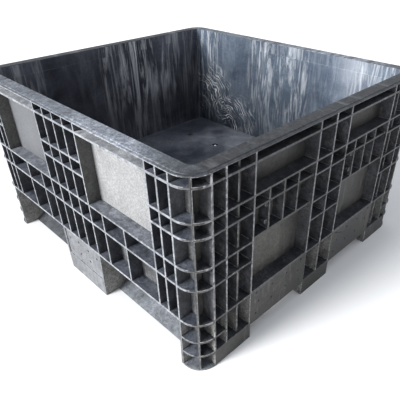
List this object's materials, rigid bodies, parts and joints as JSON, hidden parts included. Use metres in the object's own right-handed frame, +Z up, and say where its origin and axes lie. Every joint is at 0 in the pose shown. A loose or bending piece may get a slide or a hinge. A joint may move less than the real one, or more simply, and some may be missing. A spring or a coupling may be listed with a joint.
{
  "type": "bulk pallet box",
  "caption": "One-piece open-top bulk box of ribbed dark plastic with plain inner walls, feet and two fork ways under the floor.",
  "frame": {"origin": "middle of the footprint, on the ground under the feet", "axes": "+Z up; X along the longer side; the picture's bright long wall faces -Y and its shaded short wall faces +X"},
  "size_m": [1.219, 1.143, 0.66],
  "materials": {
    "recycled_black_plastic": "dull moulded recycled plastic, scuffed and weathered"
  },
  "bodies": {
    "root": {"box_body": "recycled_black_plastic"}
  },
  "joints": []
}
